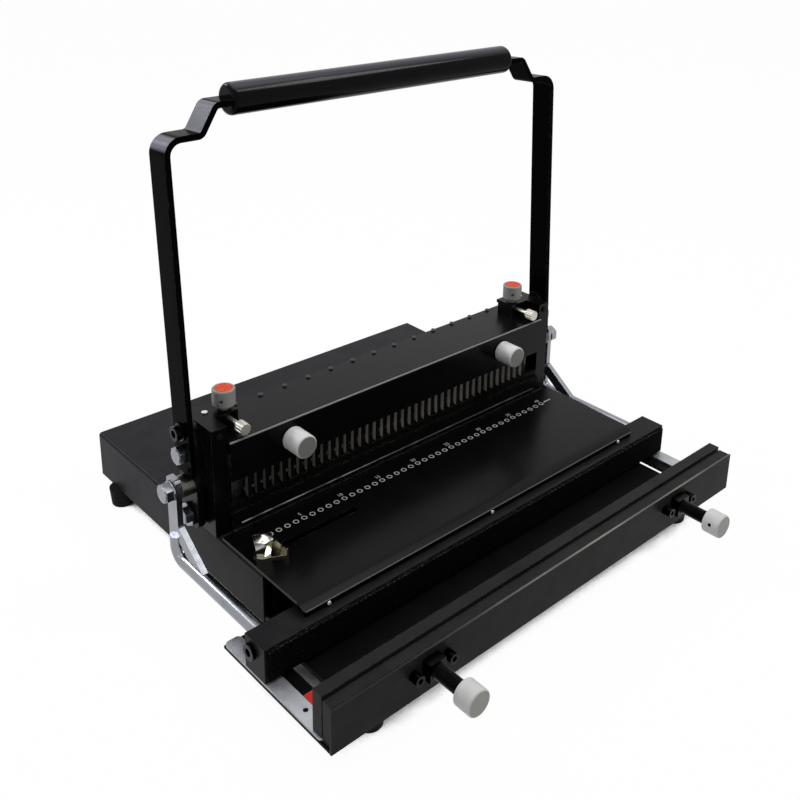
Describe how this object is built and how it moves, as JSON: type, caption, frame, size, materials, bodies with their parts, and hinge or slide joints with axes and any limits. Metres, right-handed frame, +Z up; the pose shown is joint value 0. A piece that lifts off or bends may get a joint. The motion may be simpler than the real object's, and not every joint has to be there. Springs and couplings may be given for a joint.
{
  "type": "wire binding machine",
  "caption": "Desk wire binding machine: a U handle drives a row of square hole punches through a rack and pinion and pushes a closing beam against an adjustable jaw for double loop wire.",
  "frame": {"origin": "centre of the bounding box on the floor under the feet", "axes": "+X to the operator's right, -Y towards the operator, +Z up"},
  "size_m": [0.481, 0.463, 0.4216],
  "materials": {
    "black_coat": "semi-gloss powder coat",
    "gloss_coat": "gloss stove enamel",
    "handle_coat": "satin paint",
    "zinc": "bright zinc plate",
    "black_oxide": "black oxide",
    "bare_steel": "ground steel",
    "yellow_zinc": "yellow zinc plate",
    "chrome": "polished",
    "white_plastic": "satin",
    "grey_plastic": "satin",
    "red_plastic": "gloss",
    "red_rubber": "matt",
    "grip": "smooth satin",
    "foot_rubber": "matt"
  },
  "bodies": {
    "frame": {"base_plate": "black_coat", "body_shell": "black_coat", "rubber_feet": "foot_rubber", "table_plate": "gloss_coat", "small_screws": "zinc", "end_plate_left": "black_coat", "end_plate_right": "black_coat", "rear_wall": "black_coat", "top_cover": "gloss_coat", "cover_screws": "black_coat", "cover_rail": "bare_steel", "lock_brackets": "black_coat", "die_plate": "bare_steel", "pin_guide": "black_oxide", "throat_strip": "bare_steel", "shaft_bushings": "black_oxide", "closer_floor": "black_coat", "slide_plates": "zinc", "stop_pads": "red_rubber", "front_bar": "black_coat", "front_plate": "black_coat", "front_screws": "black_oxide", "adjuster_blocks": "black_coat"},
    "handle": {"handle_bar": "handle_coat", "hand_grip": "grip", "crank_plates": "black_coat", "arm_cap_screws": "black_oxide", "arm_bolts": "zinc", "pivot_bolts": "zinc", "plain_washers": "zinc", "link_spacers": "bare_steel", "link_bolts": "zinc", "drive_shaft": "bare_steel", "drive_pinions": "bare_steel"},
    "punch": {"punch_beam": "bare_steel", "punch_pins": "bare_steel", "drive_racks": "bare_steel"},
    "closer": {"closing_beam": "black_coat", "beam_strip": "foot_rubber", "beam_pins": "black_oxide", "beam_guides": "bare_steel"},
    "left_link": {"link_left": "zinc"},
    "right_link": {"link_right": "zinc"},
    "jaw": {"jaw_plate": "black_coat"},
    "left_adjuster": {"adjuster_spindle_left": "black_oxide", "adjuster_knob_left": "white_plastic"},
    "right_adjuster": {"adjuster_spindle_right": "black_oxide", "adjuster_knob_right": "white_plastic"},
    "paper_stop": {"edge_guide": "yellow_zinc", "guide_bolt": "zinc"},
    "stop_nut": {"guide_nut": "chrome"},
    "left_lock": {"lock_knob_left": "grey_plastic", "lock_cap_left": "red_plastic"},
    "right_lock": {"lock_knob_right": "grey_plastic", "lock_cap_right": "red_plastic"},
    "left_lock_screw": {"lock_screw_left": "zinc"},
    "right_lock_screw": {"lock_screw_right": "zinc"},
    "left_cover_knob": {"cover_knob_left": "white_plastic"},
    "right_cover_knob": {"cover_knob_right": "white_plastic"},
    "drawer": {"chip_drawer": "black_coat"}
  },
  "joints": [
    {"name": "handle_turn", "type": "hinge", "parent": "frame", "child": "handle", "pos_m": [0, 0.044, 0.076], "axis": [1, 0, 0], "range_deg": [0, 55]},
    {"name": "punch_stroke", "type": "slide", "parent": "frame", "child": "punch", "axis": [0, 0, -1], "range_m": [0, 0.0116]},
    {"name": "closer_stroke", "type": "slide", "parent": "frame", "child": "closer", "axis": [0, -1, 0], "range_m": [0, 0.0308]},
    {"name": "left_link_swing", "type": "hinge", "parent": "closer", "child": "left_link", "pos_m": [-0.222, -0.0895, 0.045], "axis": [1, 0, 0], "range_deg": [-6.3, 0]},
    {"name": "right_link_swing", "type": "hinge", "parent": "closer", "child": "right_link", "pos_m": [0.222, -0.0895, 0.045], "axis": [1, 0, 0], "range_deg": [-6.3, 0]},
    {"name": "jaw_shift", "type": "slide", "parent": "frame", "child": "jaw", "axis": [0, 1, 0], "range_m": [0, 0.015]},
    {"name": "left_adjuster_turn", "type": "hinge", "parent": "jaw", "child": "left_adjuster", "pos_m": [-0.1496, -0.2, 0.0445], "axis": [0, 1, 0], "range_deg": [0, 3090]},
    {"name": "right_adjuster_turn", "type": "hinge", "parent": "jaw", "child": "right_adjuster", "pos_m": [0.1496, -0.2, 0.0445], "axis": [0, 1, 0], "range_deg": [0, 3090]},
    {"name": "paper_stop_slide", "type": "slide", "parent": "frame", "child": "paper_stop", "axis": [1, 0, 0], "range_m": [0, 0.09]},
    {"name": "stop_nut_turn", "type": "hinge", "parent": "paper_stop", "child": "stop_nut", "pos_m": [-0.184, -0.026, 0.07], "axis": [0, 0, 1], "range_deg": [0, 360]},
    {"name": "left_lock_turn", "type": "hinge", "parent": "frame", "child": "left_lock", "pos_m": [-0.171, 0.0443, 0.165], "axis": [0, 0, 1], "range_deg": [0, 180]},
    {"name": "right_lock_turn", "type": "hinge", "parent": "frame", "child": "right_lock", "pos_m": [0.171, 0.0443, 0.165], "axis": [0, 0, 1], "range_deg": [-180, 0]},
    {"name": "left_lock_screw_turn", "type": "hinge", "parent": "frame", "child": "left_lock_screw", "pos_m": [-0.171, 0.02, 0.1525], "axis": [0, 1, 0], "range_deg": [-720, 0]},
    {"name": "right_lock_screw_turn", "type": "hinge", "parent": "frame", "child": "right_lock_screw", "pos_m": [0.171, 0.02, 0.1525], "axis": [0, 1, 0], "range_deg": [-720, 0]},
    {"name": "left_cover_knob_turn", "type": "hinge", "parent": "frame", "child": "left_cover_knob", "pos_m": [-0.126, 0.004, 0.128], "axis": [0, 1, 0], "range_deg": [-1080, 0]},
    {"name": "right_cover_knob_turn", "type": "hinge", "parent": "frame", "child": "right_cover_knob", "pos_m": [0.126, 0.004, 0.128], "axis": [0, 1, 0], "range_deg": [-1080, 0]},
    {"name": "drawer_slide", "type": "slide", "parent": "frame", "child": "drawer", "axis": [0, 1, 0], "range_m": [0, 0.19]}
  ],
  "couplings": [
    {"joint": "punch_stroke", "follows": "handle_turn", "m_per_rad": 0.012},
    {"joint": "closer_stroke", "follows": "handle_turn", "m_per_rad": 0.032},
    {"joint": "left_link_swing", "follows": "handle_turn", "ratio": -0.1125},
    {"joint": "right_link_swing", "follows": "handle_turn", "ratio": -0.1125},
    {"joint": "left_adjuster_turn", "follows": "jaw_shift", "rad_per_m": 3590.4},
    {"joint": "right_adjuster_turn", "follows": "jaw_shift", "rad_per_m": 3590.4}
  ]
}
